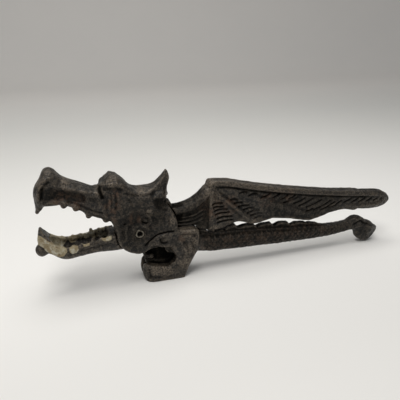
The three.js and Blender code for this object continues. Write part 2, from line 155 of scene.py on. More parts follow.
# ---- sampled solids ----
class Solid:
    """Distances to a surface on a grid, negative inside, with a relief for its two sides."""

    def __init__(self, low, high):
        axes = [low[i] + STEP * np.arange(int(math.ceil((high[i] - low[i]) / STEP)) + 1) for i in range(3)]
        self.x, self.y, self.z = axes
        self.f = np.full([len(a) for a in axes], 6.0, np.float32)
        self.relief = np.zeros((len(self.x), len(self.z)), np.float32)
        self.strokes = self.relief.copy()       # the relief lines alone, for the colours

    def spot(self, xs, zs, margin=5.0):
        """The part of the grid round some points, as index ranges and as X, Y and Z there."""
        i = slice(*np.searchsorted(self.x, [np.min(xs) - margin, np.max(xs) + margin]))
        k = slice(*np.searchsorted(self.z, [np.min(zs) - margin, np.max(zs) + margin]))
        return (i, k), self.x[i][:, None, None], self.y[None, :, None], self.z[k][None, None, :]

    def add(self, where, shape, width=1.5):
        i, k = where
        self.f[i, :, k] = melt(self.f[i, :, k], shape, width)

    def carve(self, where, shape, width=0.8):
        i, k = where
        self.f[i, :, k] = -melt(-self.f[i, :, k], shape, width)

    # volumes
    def slab(self, outline, half, edge=2.0, inner=None, width=1.5, smooth=True, carve=False):
        """An outline in X and Z with flat sides; half is half its thickness, or [x, half] points.

        With inner it is a plate on each side that starts at |y| = inner.
        """
        points = curve(outline, closed=True) if smooth else np.array(outline, float)
        where, x, y, z = self.spot(points[:, 0], points[:, 1])
        flat = polygon(points, x[:, 0], z[0])[:, None, :]
        reach = np.abs(y) - (profile(half, x) if isinstance(half, list) else half)
        if inner is not None:
            reach = np.maximum(reach, inner - np.abs(y))
        shape = meet(flat, reach, edge)
        (self.carve if carve else self.add)(where, shape, width)

    def loft(self, x0, x1, top, bottom, half, power=3.0, cap=2.5, width=2.0):
        """A body along X whose section is an ellipse at power 2 and squarer above it."""
        heights = [v for _, v in top] + [v for _, v in bottom]
        where, x, y, z = self.spot([x0, x1], heights)
        high, low, wide = profile(top, x), profile(bottom, x), profile(half, x)
        rise = (high - low) / 2
        section = (np.abs(y / wide) ** power + np.abs((z - (high + low) / 2) / rise) ** power) ** (1 / power)
        shape = (section - 1) * np.minimum(wide, rise)
        self.add(where, meet(shape, np.maximum(x0 - x, x - x1), cap), width)

    def rod(self, points, radii, squash=1.0, width=1.2, carve=False):
        """A round rod through (x, |y|, z) points; squash above 1 makes it wider in Y. Both sides get it."""
        p = np.array(points, float)
        where, x, y, z = self.spot(p[:, 0], p[:, 2], margin=5 + max(radii))
        y = np.abs(y) / squash if p[:, 1].any() else y / squash
        shape = np.float32(99)
        for a, b, ra, rb in zip(p[:-1], p[1:], radii[:-1], radii[1:]):
            e = (b - a) / (1, squash, 1)
            w = (x - a[0], y - a[1] / squash, z - a[2])
            t = np.clip((w[0] * e[0] + w[1] * e[1] + w[2] * e[2]) / (e @ e), 0, 1)
            gap = np.sqrt((w[0] - e[0] * t) ** 2 + (w[1] - e[1] * t) ** 2 + (w[2] - e[2] * t) ** 2)
            shape = np.minimum(shape, gap - (ra + (rb - ra) * t))
        (self.carve if carve else self.add)(where, shape, width)

    def ball(self, centre, radii, width=2.0, carve=False):
        """An ellipsoid at (x, |y|, z), on both sides unless its y is 0."""
        where, x, y, z = self.spot([centre[0]], [centre[2]], margin=5 + max(radii))
        y = np.abs(y) if centre[1] else y
        q = ((x - centre[0]) / radii[0], (y - centre[1]) / radii[1], (z - centre[2]) / radii[2])
        k0 = np.sqrt(q[0] ** 2 + q[1] ** 2 + q[2] ** 2)
        k1 = np.sqrt((q[0] / radii[0]) ** 2 + (q[1] / radii[1]) ** 2 + (q[2] / radii[2]) ** 2)
        shape = k0 * (k0 - 1) / np.maximum(k1, 1e-6)
        (self.carve if carve else self.add)(where, shape, width)

    # reliefs, seen from the side
    def line(self, points, height, width, fade=0.12):
        """A raised line, or a groove where height is negative, that fades at both ends."""
        points = curve(points) if len(points) > 2 else np.array(points, float)
        (i, k), x, _, z = self.spot(points[:, 0], points[:, 1], margin=3 * width)
        gap, along = line_distance(points, x[:, 0], z[0])
        ends = 1 if fade == 0 else ramp(np.minimum(along, 1 - along), -0.02, fade)
        stroke = height * np.exp(-(gap / width) ** 2) * ends
        self.relief[i, k] += stroke
        self.strokes[i, k] += stroke

    def ring(self, x0, z0, radius, height, width, start=0, end=360):
        self.line(arc(radius, start, end, 24, (x0, z0)), height, width, 0 if end - start == 360 else 0.12)

    def area(self, outline, height, soft):
        """A raised or sunken field with soft borders."""
        points = curve(outline, closed=True)
        (i, k), x, _, z = self.spot(points[:, 0], points[:, 1], margin=soft)
        self.relief[i, k] += height * ramp(-polygon(points, x[:, 0], z[0]), -soft / 2, soft / 2)

    def even_out(self):
        """Rescales the distances so that they grow by one per millimetre near the surface."""
        slopes = np.gradient(self.f, STEP)
        self.f /= np.clip(np.sqrt(sum(s * s for s in slopes)), 0.35, 2.0)

    def press(self, from_y=2.0, to_y=4.0):
        """Applies the relief to the sides, leaving the middle of the casting as it is."""
        share = ramp(np.abs(self.y), from_y, to_y).astype(np.float32)
        self.f -= self.relief[:, None, :] * share[None, :, None]

    def noise(self, size, seed):
        """Smooth random values from -1 to 1, about size mm apart."""
        rng = np.random.default_rng(seed)
        axes = (self.x, self.y, self.z)
        value = rng.uniform(-1, 1, [int((a[-1] - a[0]) / size) + 3 for a in axes]).astype(np.float32)
        for axis, a in enumerate(axes):
            u = (a - a[0]) / size
            i = u.astype(int)
            t = ramp(u - i, 0, 1).reshape([-1 if n == axis else 1 for n in range(3)]).astype(np.float32)
            value = np.take(value, i, axis) * (1 - t) + np.take(value, i + 1, axis) * t
        return value


def sample(solid, grid, p):
    """Values of a grid at points p, in millimetres."""
    low = np.array([solid.x[0], solid.y[0], solid.z[0]])
    u = np.clip((p - low) / STEP, 0, np.array(grid.shape) - 1.001)
    i = u.astype(int)
    t = u - i
    total = 0
    for dx in (0, 1):
        for dy in (0, 1):
            for dz in (0, 1):
                weight = abs(1 - dx - t[:, 0]) * abs(1 - dy - t[:, 1]) * abs(1 - dz - t[:, 2])
                total = total + weight * grid[i[:, 0] + dx, i[:, 1] + dy, i[:, 2] + dz]
    return total


def blur(grid, radius):
    """A box average taken three times along each axis."""
    reach = max(1, int(round(radius / STEP)))
    for axis in range(3):
        for _ in range(3):
            padding = [(reach + 1, reach) if n == axis else (0, 0) for n in range(3)]
            sums = np.cumsum(np.pad(grid, padding, mode="edge"), axis=axis, dtype=np.float64)
            size = grid.shape[axis]
            high = np.take(sums, np.arange(2 * reach + 1, 2 * reach + 1 + size), axis)
            low = np.take(sums, np.arange(size), axis)
            grid = ((high - low) / (2 * reach + 1)).astype(np.float32)
    return grid


# ---- skins ----
def skin(solid):
    """A closed quad mesh over a solid: one point in each cell that the surface crosses."""
    f = solid.f
    inside = f < 0
    shape = np.array(f.shape) - 1
    corners = [(dx, dy, dz) for dx in (0, 1) for dy in (0, 1) for dz in (0, 1)]
    full = np.zeros(shape, np.uint8)
    for c in corners:
        full += inside[tuple(slice(c[n], c[n] + shape[n]) for n in range(3))]
    cells = np.argwhere((full > 0) & (full < 8))
    number = np.full(shape, -1, np.int64)
    number[tuple(cells.T)] = np.arange(len(cells))
    value = {c: f[tuple((cells + c).T)] for c in corners}
    total, hits = np.zeros((len(cells), 3)), np.zeros(len(cells))
    for a in corners:
        for axis in range(3):
            if a[axis] == 0:
                b = tuple(a[n] + (n == axis) for n in range(3))
                crossed = (value[a] < 0) != (value[b] < 0)
                share = np.where(crossed, value[a] / np.where(crossed, value[a] - value[b], 1), 0)
                point = np.tile(np.array(a, float), (len(cells), 1))
                point[:, axis] += share
                total += point * crossed[:, None]
                hits += crossed
    low = np.array([solid.x[0], solid.y[0], solid.z[0]])
    points = low + STEP * (cells + total / hits[:, None])

    quads = []
    for axis in range(3):
        u, v = (axis + 1) % 3, (axis + 2) % 3
        front = np.take(inside, np.arange(shape[axis]), axis)
        back = np.take(inside, np.arange(1, shape[axis] + 1), axis)
        edge = np.argwhere(front != back)
        edge = edge[(edge[:, u] > 0) & (edge[:, v] > 0) & (edge[:, u] < shape[u]) & (edge[:, v] < shape[v])]
        leaving = front[tuple(edge.T)]
        around = []
        for du, dv in ((0, 0), (-1, 0), (-1, -1), (0, -1)):
            cell = edge.copy()
            cell[:, u] += du
            cell[:, v] += dv
            around.append(number[tuple(cell.T)])
        ring = np.stack(around, 1)
        quads += [ring[leaving], ring[~leaving][:, ::-1]]
    return points, np.vstack(quads)


def biggest_shell(points, quads):
    """Keeps the largest connected part, so that no crumb of the noise is left behind."""
    label = np.arange(len(points))
    while True:
        low = label[quads].min(1)
        fresh = label.copy()
        for n in range(4):
            np.minimum.at(fresh, quads[:, n], low)
        fresh = fresh[fresh]
        if (fresh == label).all():
            break
        label = fresh
    keep = label == np.bincount(label).argmax()
    renumber = np.cumsum(keep) - 1
    return points[keep], renumber[quads[keep[quads[:, 0]]]]


def relax(points, quads, amount):
    """Moves each point towards the middle of its neighbours."""
    a, b = quads.ravel(), np.roll(quads, -1, axis=1).ravel()
    count = np.bincount(a, minlength=len(points)) + np.bincount(b, minlength=len(points))
    middle = np.stack([np.bincount(a, points[b, n], len(points)) + np.bincount(b, points[a, n], len(points))
                       for n in range(3)], 1) / count[:, None]
    return points + (middle - points) * amount


def settle(solid, points):
    """Puts points back on the surface of the solid."""
    here = sample(solid, solid.f, points)
    slope = np.stack([sample(solid, solid.f, points + np.eye(3)[n] * STEP / 2)
                      - sample(solid, solid.f, points - np.eye(3)[n] * STEP / 2) for n in range(3)], 1) / STEP
    move = (here / np.maximum((slope ** 2).sum(1), 0.1))[:, None] * slope
    return points - np.clip(move, -STEP / 2, STEP / 2)


def add_object(name, data):
    obj = bpy.data.objects.new(name, data)
    bpy.context.scene.collection.objects.link(obj)
    return obj


def make_piece(name, solid, tints):
    """The object for a solid. tints(p) gives the cream, rust, worn and painted shade shares at its points.

    The attribute "form" holds its raised edges and strokes, its hollows, and its wide hollows; the material
    paints the hollows dark as shade.
    """
    points, quads = biggest_shell(*skin(solid))
    for _ in range(SKIN_PASSES):
        points = settle(solid, relax(points, quads, 0.4))
    mesh = bpy.data.meshes.new(name)
    mesh.vertices.add(len(points))
    mesh.vertices.foreach_set("co", (points * MM).astype(np.float32).ravel())
    mesh.loops.add(quads.size)
    mesh.loops.foreach_set("vertex_index", quads.astype(np.int32).ravel())
    mesh.polygons.add(len(quads))
    mesh.polygons.foreach_set("loop_start", np.arange(0, quads.size, 4, dtype=np.int32))
    mesh.update(calc_edges=True)
    mesh.validate()
    mesh.polygons.foreach_set("use_smooth", np.ones(len(mesh.polygons), bool))

    full = (solid.f < 0).astype(np.float32)
    near = sample(solid, blur(full, 0.9), points)
    wide = sample(solid, blur(full, 3.0), points)
    flat = points * (1, 0, 1) + (0, solid.y[0], 0)
    stroke = sample(solid, np.repeat(solid.strokes[:, None, :], 2, axis=1), flat)
    stroke *= ramp(np.abs(points[:, 1]), 2.5, 4.5)
    form = np.stack([np.clip(np.maximum((0.5 - near) * 4, stroke * 0.8), 0, 1),
                     np.clip(np.maximum((near - 0.5) * 5, -stroke * 1.1), 0, 1),
                     np.clip((wide - 0.5) * 4, 0, 1), np.ones(len(points))], 1)
    for title, colours in (("form", form), ("tint", tints(points))):
        layer = mesh.color_attributes.new(title, "FLOAT_COLOR", "POINT")
        layer.data.foreach_set("color", colours.astype(np.float32).ravel())
    return add_object(name, mesh)


# ---- body casting ----
HEAD_TOP = [(-163.6, 92.4), (-159.2, 97.8), (-155, 104.6), (-151, 106.3), (-147.4, 104.6), (-142.5, 99.4),
            (-136, 95.6), (-127, 91.4), (-121, 88.2), (-117.6, 88.8), (-111.8, 94.1), (-105.5, 98.5),
            (-98, 94.2), (-91, 86.3), (-85, 84), (-80, 83.6), (-74, 82.9), (-62, 82.9)]
HEAD_BOTTOM = [(-164, 77.4), (-157, 78), (-151, 77.8), (-144, 77.8), (-135, 73.6), (-125, 67.4), (-115, 62.4),
               (-108, 59.9), (-62, 59.9)]
HEAD_HALF = [(-163.6, 4.4), (-159.2, 7.6), (-154, 10), (-145, 9.8), (-132, 9.8), (-120, 11), (-108, 12),
             (-75, 12), (-67, 10.8), (-62, 8)]
TAIL_TOP = [(-60, 41), (-40, 39.5), (-30, 36), (-18, 34.4), (0, 34), (25, 31.7), (50, 29.2), (75, 26.8),
            (92, 25.2), (104, 24.7), (114, 24.5), (122, 25.8), (129, 27.8), (136, 28.4)]
TAIL_BOTTOM = [(-60, 23.6), (-37, 19.6), (-24, 17.5), (-2, 16.1), (22, 14.9), (46, 13.8), (75, 13),
               (98, 13.1), (112, 14), (122, 15), (136, 16)]
TAIL_HALF = [(-60, 9.5), (-40, 9.8), (-25, 9.3), (0, 8.6), (25, 8.1), (50, 7.5), (75, 7), (100, 6.3),
             (136, 5.6)]
CREST = [(-38, 41), (-35.8, 41.4), (-33.4, 39.9), (-29.5, 38.8), (-25.6, 37), (-24, 33.6), (-18, 34.8),
         (-11.8, 36.2), (-10, 35.4), (-6, 38.2), (-1, 39.4), (1.2, 39), (2.6, 36.4), (5, 35.6), (9.5, 36.6),
         (13, 36.9), (20.2, 36.4), (22.2, 33.6), (23.4, 34.1), (28, 35.6), (37, 35.6), (39.2, 32.4),
         (41.4, 32.6), (46.5, 34.7), (54.8, 34), (56.8, 30.4), (58.5, 31), (63, 32.6), (73.2, 31.3),
         (75.4, 29.7), (78.5, 30.2), (86, 28.8), (90, 26.6), (98, 24.4)]
UPPER_TEETH = [(-143.0, 76.5), (-134.6, 73), (-125.6, 65.9), (-112.8, 60.6)]


def head(s):
    s.loft(-163.6, -62, HEAD_TOP, HEAD_BOTTOM, HEAD_HALF, power=3.4, cap=2.6)
    # The front of the muzzle runs down into one fang; four blunt teeth stand along each lip.
    s.rod([(-158.8, 0, 86), (-159.7, 0, 80.5), (-161.2, 0, 76), (-162.9, 0, 72.6)], [4.2, 3.8, 2.8, 1.5],
          1.25, width=2)
    for x, tip in UPPER_TEETH:
        s.rod([(x + 0.8, 7.6, tip + 4.2), (x, 8.0, tip + 1.9)], [3.4, 2.1], 0.9, width=2)
    # Horn: one leaf on the middle line, rising from the rear of the skull.
    s.slab([(-84, 81.6), (-76, 83.4), (-70, 86.2), (-65.8, 90.6), (-62.6, 95.4), (-61.2, 97.2), (-59.6, 94.8),
            (-58.7, 89.5), (-60.1, 84.6), (-61.9, 80), (-62.4, 75), (-84, 75)],
           [(-84, 8), (-74, 7), (-66, 4.6), (-59, 2.4)], edge=2.0, width=3)
    # Palate, the hollow that holds the nut from above, with grip ridges across it.
    s.ball((-133, 0, 70.5), (22, 6.3, 11.5), 1.0, carve=True)
    for x in (-146, -141, -136, -131, -126, -121):
        s.rod([(x, 0, 82.3 - 0.035 * (x + 133) ** 2), (x, 0, 81.9 - 0.035 * (x + 133) ** 2)], [1.1, 1.1], 3.2)


def cheeks(s):
    s.slab([(-108.6, 66), (-108, 60), (-106.6, 55)] + arc(CHEEK_RADIUS, 175, 268, 10)
           + [(-83, 30.2), (-79, 33), (-75.5, 40)] + arc(SWING_RADIUS - 0.6, -8, 37, 9)
           + [(-66, 70), (-73, 71.5), (-80, 74), (-100, 74)], CHEEK, edge=1.8, width=2.5)
    # The nape: a notch behind the skull, with room for the wing arm to swing into.
    s.slab(arc(SWING_RADIUS - 0.4, 24, 47, 6) + [(-64.4, 73.4), (-60, 75), (-54, 77.5), (-54, 61)],
           THROUGH, edge=0.6, width=0.6, smooth=False, carve=True)


def forelegs(s):
    s.slab([(-80.5, 33.5), (-76, 38.5), (-72.5, 43), (-66, 45.2), (-58, 46), (-50, 45.4), (-38.8, 44.5),
            (-36.2, 42), (-36.2, 34), (-37.6, 28.5), (-40.4, 24.5), (-50, 24.4), (-57, 26), (-60.5, 30.2),
            (-66.5, 32)], CHEEK, edge=1.6, inner=4.0, width=2.5)
    s.slab([(-60, 30), (-50, 31), (-36.2, 30), (-38.4, 23), (-42.4, 15.5), (-46.2, 8), (-49.2, 0.4),
            (-52.5, -2), (-62, -2), (-62, 12.8), (-58.4, 16.8), (-57, 22)], 12, edge=1.6, inner=3.6,
           width=3)
    s.slab([(-50, 0), (-53, -2), (-53, -2), (-80, -2), (-80, -2), (-83.2, 1.2), (-85.4, 6),
            (-85.8, 11), (-84.6, 15), (-81.5, 16.6), (-77, 15.4), (-70, 13.8), (-62, 12.6), (-52, 10)],
           [(-86, 3), (-84.6, 6), (-83, 8.4), (-80.6, 10.6), (-76, 12.2), (-50, 12)], edge=2.0, inner=3.4,
           width=2.5)
    # Claws: two notches divide each paw into three toes.
    for y, x in ((5.4, -86), (8.2, -84.4)):
        s.rod([(x, y, 2), (x - 0.6, y, 9), (x + 0.4, y, 16.5), (x + 4, y, 18)], [0.7, 1.0, 1.0, 0.6],
              carve=True, width=1.0)
    # A thin chest wall between the legs, and the torso that joins the shoulders.
    s.slab([(-80.5, 14), (-82.2, 17.6), (-82.6, 22), (-81.8, 28.6), (-80, 32), (-62, 33), (-50, 30),
            (-40, 28), (-46.5, 12), (-52, 9), (-72, 9)], 3.0, edge=1.6, width=1.5)
    s.rod([(-79.8, 2.6, 22.8), (-77.5, 5.6, 23)], [3.2, 2.4], width=1.5)
    s.slab([(-64, 25.5), (-61.5, 43), (-56, 45), (-41, 43.6), (-37.8, 42), (-35.8, 39.8), (-35.8, 26)], 9,
           edge=1.6, width=2.5)


def tail(s):
    s.loft(-58, 134, TAIL_TOP, TAIL_BOTTOM, TAIL_HALF, power=2.5, cap=2.5)
    # Spikes along the crest, each with a gentle front and a steep back.
    s.slab(CREST + [(96, 20), (-38, 26)], [(-38, 3.6), (30, 3.2), (96, 2.2)], edge=0.9, width=1.6,
           smooth=False)
    # The spade at the end: a leaf that hangs down to the table, thickest along its middle.
    s.slab([(124, 18.6), (130.8, 14.6), (132.4, 11), (134, 6.6), (138.4, 2.6), (145, 0), (149.6, 1.2),
            (154, 4.8), (159, 11.8), (157, 15.6), (150, 18.4), (144.5, 21.6), (139.8, 26.2), (134, 28.9),
            (124, 26.4)], [(124, 5.0), (138, 4.8), (146, 4.4), (154, 4.0), (161, 2.2)], edge=4.0, width=2.5)
    s.ball((144.5, 0, 14.5), (8.5, 7.4, 8.0), 4)


def body_reliefs(s):
    # Muzzle: a deep hollow below the bridge, the rim of the nostril in front of it.
    s.area([(-157.4, 93), (-152.5, 95.2), (-144, 91.8), (-136, 89.4), (-129, 87), (-127, 82), (-131, 79.5),
            (-140, 82.5), (-150, 83.6), (-157.6, 83)], -1.9, 3.0)
    s.line([(-152.6, 101.8), (-157, 97.4), (-159.4, 92.8), (-160.6, 86.5), (-161, 80.5)], 0.9, 1.1, 0.05)
    s.line([(-150.6, 99.4), (-155, 96), (-157.4, 91.5), (-158.4, 84)], -0.7, 1.3, 0.05)
    s.line([(-152, 97.4), (-143.6, 93.6), (-135.4, 90.8), (-128, 88.6), (-120.4, 86.4)], 0.7, 1.4)
    s.line([(-141, 82.6), (-132, 78.4), (-123, 73), (-113, 69)], -0.6, 1.1)
    s.line([(-140, 80.4), (-131, 76), (-122, 70.6), (-112, 66.4)], 0.45, 1.0)
    s.area([(-127, 84), (-119, 83), (-115, 77), (-118, 73), (-126, 76)], 0.9, 5.0)
    for i, x in enumerate((-149, -143, -137)):
        s.line([(x, 84.8), (x + 2, 88.4 - i)], -0.35, 0.8)
    # Hood, eye slit and the folds behind the eye.
    s.line([(-116, 90.2), (-115.4, 86.5), (-113.6, 81)], -1.3, 1.5, 0.1)
    s.line([(-113.6, 88.6), (-108.5, 89), (-103, 88.8), (-98, 86.6)], -0.6, 1.5)
    s.line([(-115.2, 92), (-109.6, 92.6), (-103.4, 92.4), (-97.5, 89.6)], 0.7, 1.1)
    s.line([(-110.8, 98), (-110.2, 93.6)], 0.45, 0.8)
    s.line([(-106.6, 99), (-106.4, 93.6)], 0.5, 0.8)
    s.line([(-102, 97), (-102.4, 93)], 0.4, 0.8)
    s.area([(-113, 88), (-100, 88), (-99.6, 76), (-103, 67), (-110.5, 66.5), (-113.4, 76)], -0.9, 4.0)
    for x, z0, z1, height in ((-111.4, 72, 83, -0.3), (-109, 68, 86, 0.5), (-106.6, 69, 87, 0.55),
                              (-104.4, 70, 86, -0.45), (-102.2, 71, 85, 0.4), (-107.8, 69, 86, -0.35)):
        s.line([(x - 0.8, z0), (x + 0.5, (z0 + z1) / 2), (x, z1)], height, 0.8)
    s.line([(-98.5, 85), (-92, 82.4), (-86, 80.6), (-78, 80), (-70, 81)], -0.5, 1.2)
    s.line([(-96, 80.5), (-92.5, 76), (-91.5, 70.5), (-94, 65)], -0.45, 1.2)
    s.line([(-70.5, 85), (-74.5, 80), (-73.5, 73.5), (-70, 69)], -0.25, 1.4)
    s.area([(-75, 80), (-63, 82), (-62.5, 70), (-72, 70)], -0.6, 4.0)
    s.line([(-61.8, 95.5), (-61.6, 90), (-62.8, 84), (-65.4, 78)], -0.7, 0.7)
    s.line([(-60.2, 94), (-59.9, 89), (-61, 83)], 0.5, 0.7)
    s.line([(-64.4, 93), (-67.6, 88), (-73, 84.6)], 0.4, 1.0)
    # Cheek: rings round the rivet and round the boss above it, and a smaller boss on the shoulder.
    s.area(arc(9.5, 0, 330, 12, (PIVOT_X, PIVOT_Z)), 0.55, 2.0)
    s.ring(PIVOT_X, PIVOT_Z, 5.2, -0.55, 0.9)
    s.ring(PIVOT_X, PIVOT_Z, 7.4, 0.5, 0.9, 10, 170)
    s.ring(PIVOT_X, PIVOT_Z, 10.6, -0.55, 0.9, 20, 175)
    s.ring(-82, 59.2, 2.6, -0.6, 0.7)
    s.ring(-82, 59.2, 4.6, 0.5, 0.9)
    s.ring(-82, 59.2, 6.6, -0.5, 0.9, -20, 130)
    s.area(arc(1.6, 0, 330, 8, (-82, 59.2)), 0.5, 1.0)
    s.line([(-80.8, 67.6), (-75.4, 65.6)], 1.0, 1.5)
    s.ring(-66.8, 39.8, 3.5, -0.9, 0.9, 140, 330)
    s.ring(-66.8, 39.8, 3.5, 0.4, 0.9, -20, 140)
    s.area(arc(1.9, 0, 330, 8, (-66.4, 40.2)), 0.7, 1.2)
    s.area([(-99.6, 50), (-98.6, 54.5), (-97, 56), (-95.6, 52), (-97, 46.5), (-98.8, 46)], 0.9, 1.8)
    s.line([(-99.8, 57.5), (-97.6, 58.6)], -1.2, 1.0)
    s.line([(-101.6, 58), (-100.6, 50), (-99, 43.5)], -0.6, 0.9)
    s.line([(-98, 62.5), (-91, 59.6), (-85.5, 64.5)], -0.5, 1.1)
    s.line([(-104, 64.5), (-97, 66.8), (-91, 72)], 0.5, 1.2)
    s.line([(-72.8, 62.5), (-70.6, 57), (-71.8, 51)], 0.45, 1.0)
    s.line([(-58.4, 62), (-58.2, 51)], 0.7, 0.9)
    s.line([(-62.5, 61.5), (-62.4, 51)], -0.5, 1.1)
    # Seam where the shoulder leaves the cheek, and the shoulder's raised borders.
    s.line([(-83.5, 36.2), (-79.1, 40.2), (-73, 44.7), (-66.2, 46), (-58, 46.2)], -1.2, 0.75, 0.04)
    s.line([(-82, 34.6), (-77, 38.2), (-71.5, 42.6), (-65.6, 43.9), (-60, 44)], 0.6, 1.0)
    s.line([(-79.7, 36.2), (-74, 36.6), (-69.4, 34.6), (-65.4, 33.8), (-61.2, 33.6), (-57.4, 29.6)], 0.8, 1.0)
    s.line([(-79.5, 34.2), (-74, 34.2), (-69.4, 32.4)], -0.7, 0.9)
    s.line([(-54, 44.4), (-40.2, 43.2), (-37.6, 40.6), (-37.6, 34.6)], 0.8, 0.9)
    s.line([(-53, 41.8), (-42, 40.8), (-40.2, 37)], -0.5, 1.1)
    # Foreleg and paw: worn tendons and knuckles.
    for points, height in (([(-54.5, 38), (-50, 30), (-47.5, 22), (-50, 12)], 0.55),
                           ([(-47, 38), (-44.5, 31), (-44.5, 24), (-48.5, 12)], 0.5),
                           ([(-51, 37), (-47.2, 29), (-46.6, 21), (-50.6, 8)], -0.5),
                           ([(-42.8, 34), (-42, 27), (-45.6, 18)], -0.45),
                           ([(-77, 12), (-70, 9.5), (-62, 8.6), (-54, 6)], 0.5),
                           ([(-80, 6), (-70, 4), (-60, 3.6)], -0.45),
                           ([(-80.6, 13.5), (-79.8, 8), (-80, 3)], -0.5)):
        s.line(points, height, 1.2)
    # Tail: a net of low scales along the sides, and folds where the spade begins.
    (i, k), x, _, z = s.spot([-34, 128], [10, 42], margin=0)
    x, z = x[:, 0], z[0]
    middle = (profile(TAIL_TOP, x) + profile(TAIL_BOTTOM, x)) / 2
    u, v = x / 5.2 + 0.16 * np.sin(x * 1.3 + z), (z - middle) / 4.4 + 0.14 * np.sin(x * 0.9 - 2 * z)
    net = np.abs(np.sin(math.pi * (u + v)) * np.sin(math.pi * (u - v)))
    here = ramp(x, -33, -28) * (1 - ramp(x, 104, 124)) * (1 - ramp(np.abs(z - middle), 6.5, 9))
    s.relief[i, k] += (0.8 * np.sqrt(net) - 0.45) * here
    s.strokes[i, k] += (1.2 * np.sqrt(net) - 0.75) * here
    s.line([(124, 30), (130, 27.4), (136.4, 28.4), (141, 24)], 0.6, 1.2)
    s.line([(124.5, 21.6), (130, 24.6), (134.5, 25.2), (139, 22), (145.5, 20)], -0.9, 1.0)
    s.line([(127, 19.8), (136, 19.2), (144, 18.2), (155, 14)], 0.6, 0.9)
    s.line([(140, 15.5), (143, 8), (147, 3)], -0.4, 0.9)


def body_casting():
    s = Solid((-167, -14.4, -2.4), (164, 14.4, 109))
    head(s)
    cheeks(s)
    forelegs(s)
    tail(s)
    s.even_out()
    body_reliefs(s)
    s.press()
    s.f += 0.20 * s.noise(3.2, 11) + 0.11 * s.noise(1.5, 12) + 0.18 * s.noise(9, 13)
    # Last, the machined clearances: the slot for the lever, the rivet hole, its two seats and the flat soles.
    wedge = [(PIVOT_X, PIVOT_Z - 4)] + arc(SWING_RADIUS + 4.4, -12, 62, 16) + [(PIVOT_X - 2, PIVOT_Z + 5)]
    front = [(-113, 20), (PIVOT_X, 20), (PIVOT_X, 63.4), (-113, 63.4)]
    for outline in (wedge, arc(SLOT_RADIUS, 0, 350, 36), front):
        s.slab(outline, SLOT, edge=0.4, width=0.4, smooth=False, carve=True)
    s.slab(arc(RIVET_HOLE, 0, 345, 24), THROUGH, edge=0.2, width=0.2, smooth=False, carve=True)
    where, x, y, z = s.spot([PIVOT_X], [PIVOT_Z], margin=6)
    s.carve(where, np.maximum(np.hypot(x - PIVOT_X, z - PIVOT_Z) - RIVET_SEAT, SEAT_FLOOR - np.abs(y)), 0.3)
    s.f = np.maximum(s.f, (SOLE - s.z)[None, None, :])
    return s


# ---- lever casting ----
JAW_RIM = [(-168, 47), (-166, 50.4), (-165, 53.8), (-164.2, 57.4), (-162.7, 59.2), (-160.4, 55.8),
           (-157, 50.7), (-153, 46.8), (-148, 44.3), (-142, 43.9), (-136, 44.4), (-130, 44.9), (-126, 45.6),
           (-118, 47.4), (-109, 48.6), (-94, 50.6)]
JAW_BOTTOM = [(-168, 40), (-165, 38), (-160, 36.8), (-156, 36), (-150, 32.5), (-144, 31), (-134, 32.2),
              (-124, 33.2), (-112, 32.7), (-103, 32.4), (-94, 33)]
JAW_HALF = [(-168, 1.0), (-164.5, 1.8), (-162.3, 3.2), (-160.5, 5.0), (-156, 8.6), (-152, 10.6), (-147, 11.2),
            (-140, 11.5), (-120, 11.5), (-94, 11)]
WING_TOP = [(-62, 63.3), (-50, 64), (-41, 66.6), (-33, 72.2), (-27, 79.2), (-22.6, 83.5), (-18, 83.7),
            (-8, 82.5), (13, 77.3), (36, 72.3), (65, 66.7), (98, 61.4), (132, 56.9), (148, 55.2),
            (156, 53.8), (161, 51.4), (164.8, 48), (167.4, 43.8)]
GRIP_BOTTOM = [(96, 37.3), (104, 39.2), (113, 39.9), (128, 38.4), (146, 36.6), (156, 37.2), (162, 39),
               (167.4, 43)]
GRIP_HALF = [(96, 5.4), (130, 6), (150, 6), (160, 5), (167.4, 2.8)]
WING_HEM = [(-19.8, 38.6), (-16, 38), (-8, 40.2), (-2, 42.3), (3, 42.8), (8, 41.5), (13, 39.6), (18.3, 38.5),
            (23.8, 38.9), (30, 40.3), (37.6, 41.1), (46.6, 40), (54.5, 38.4), (62.6, 36.6), (70.8, 34.5),
            (77.6, 33.8), (86.9, 35.8), (97.6, 38.8), (106, 40), (114, 40.4), (128, 38.6)]
ARM_RAIL = [(-66, 0, 60.2), (-58, 0, 60.7), (-50.9, 0, 60.9), (-43.1, 0, 62.4), (-36.9, 0, 65.2),
            (-31.4, 0, 69), (-25.6, 0, 74.8)]


